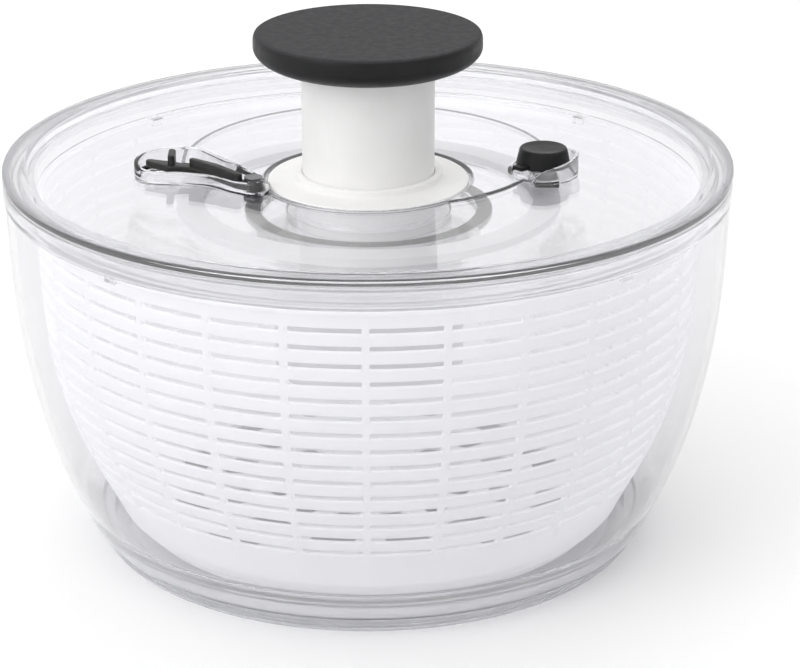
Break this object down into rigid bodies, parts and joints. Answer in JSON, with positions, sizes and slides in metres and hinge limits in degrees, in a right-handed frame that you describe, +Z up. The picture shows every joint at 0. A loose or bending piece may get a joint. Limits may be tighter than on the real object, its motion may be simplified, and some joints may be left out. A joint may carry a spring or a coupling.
{
  "type": "salad spinner",
  "caption": "Round clear bowl with a slotted inner basket and a clear lid that has a black push knob on a white plunger, a brake button and a lock lever.",
  "frame": {"origin": "centre of the base on the floor plane, on the spinning axis", "axes": "+Z up along the spinning axis, -Y towards the front, -X towards the lock lever, +X towards the brake button"},
  "size_m": [0.267, 0.267, 0.19],
  "materials": {
    "clear_plastic": "polished",
    "milky_plastic": "satin",
    "white_plastic": "satin",
    "grey_plastic": "satin",
    "black_plastic": "satin",
    "black_grip": "matte",
    "foot_rubber": "matte",
    "steel": "brushed"
  },
  "bodies": {
    "bowl_body": {"bowl": "clear_plastic", "foot_ring": "foot_rubber"},
    "basket_body": {"basket": "milky_plastic"},
    "lid_body": {"lid_cover": "clear_plastic", "guide_collar": "white_plastic", "guide_sleeve": "milky_plastic", "rotor_retainer": "white_plastic"},
    "plunger": {"plunger_tube": "white_plastic", "knob_grip": "black_grip", "knob_core": "white_plastic", "drive_nut": "grey_plastic", "return_spring": "steel"},
    "lever": {"lock_lever": "black_plastic", "lock_pawl": "steel"},
    "brake": {"brake_button": "black_grip", "brake_stem": "white_plastic", "brake_pad": "foot_rubber", "brake_spring": "steel"},
    "drive": {"drive_screw": "white_plastic", "spring_seat": "grey_plastic", "clutch_ratchet": "grey_plastic", "thrust_washer": "steel", "retaining_clip": "steel"},
    "rotor": {"housing_cup": "milky_plastic", "clutch_ring": "white_plastic", "spin_disc": "clear_plastic", "brake_ring": "white_plastic"}
  },
  "joints": [
    {"name": "lid_lift", "type": "slide", "parent": "bowl_body", "child": "lid_body", "axis": [0, 0, 1], "range_m": [0, 0.085]},
    {"name": "knob_press", "type": "slide", "parent": "lid_body", "child": "plunger", "axis": [0, 0, -1], "range_m": [0, 0.038], "stiffness_N_per_m": 160, "springref_m": -0.02, "deforming": ["return_spring"]},
    {"name": "screw_turn", "type": "hinge", "parent": "lid_body", "child": "drive", "pos_m": [0, 0, 0], "axis": [0, 0, 1], "range_deg": [0, 457]},
    {"name": "rotor_spin", "type": "hinge", "parent": "lid_body", "child": "rotor", "pos_m": [0, 0, 0], "axis": [0, 0, 1], "continuous": true},
    {"name": "basket_spin", "type": "hinge", "parent": "bowl_body", "child": "basket_body", "pos_m": [0, 0, 0], "axis": [0, 0, 1], "continuous": true},
    {"name": "lever_lock", "type": "hinge", "parent": "lid_body", "child": "lever", "pos_m": [-0.0418, -0.0138, 0.134], "axis": [0, 0, 1], "range_deg": [-6.5, 0]},
    {"name": "brake_press", "type": "slide", "parent": "lid_body", "child": "brake", "axis": [0, 0, -1], "range_m": [0, 0.003], "stiffness_N_per_m": 500, "springref_m": -0.002, "deforming": ["brake_spring"]}
  ],
  "couplings": [
    {"joint": "screw_turn", "follows": "knob_press", "rad_per_m": 209.44},
    {"joint": "rotor_spin", "follows": "basket_spin", "ratio": 1}
  ]
}
